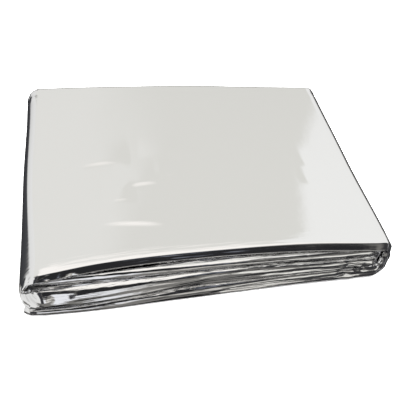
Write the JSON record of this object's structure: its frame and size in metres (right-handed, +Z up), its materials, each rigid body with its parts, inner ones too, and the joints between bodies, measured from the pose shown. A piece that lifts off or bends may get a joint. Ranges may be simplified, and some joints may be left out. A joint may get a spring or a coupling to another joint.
{
  "type": "folded emergency foil blanket",
  "caption": "Thin metallised-film blanket folded back and forth into a flat, puffy pack; opened out, it wraps a person to keep body heat in.",
  "frame": {"origin": "centre of the pack's box on the surface that it lies on", "axes": "+X along the pack's length, towards the end where the whole strip goes round in one tall fold; -Y towards the front, where the rolled folds show; +Z up from the surface"},
  "size_m": [0.1434, 0.103, 0.0222],
  "materials": {
    "foil": "bright vapour-coated plastic film, mirror-like in its small folds and softly hazed where it lies flat"
  },
  "bodies": {
    "root": {"foil_blanket": "foil"}
  },
  "joints": []
}
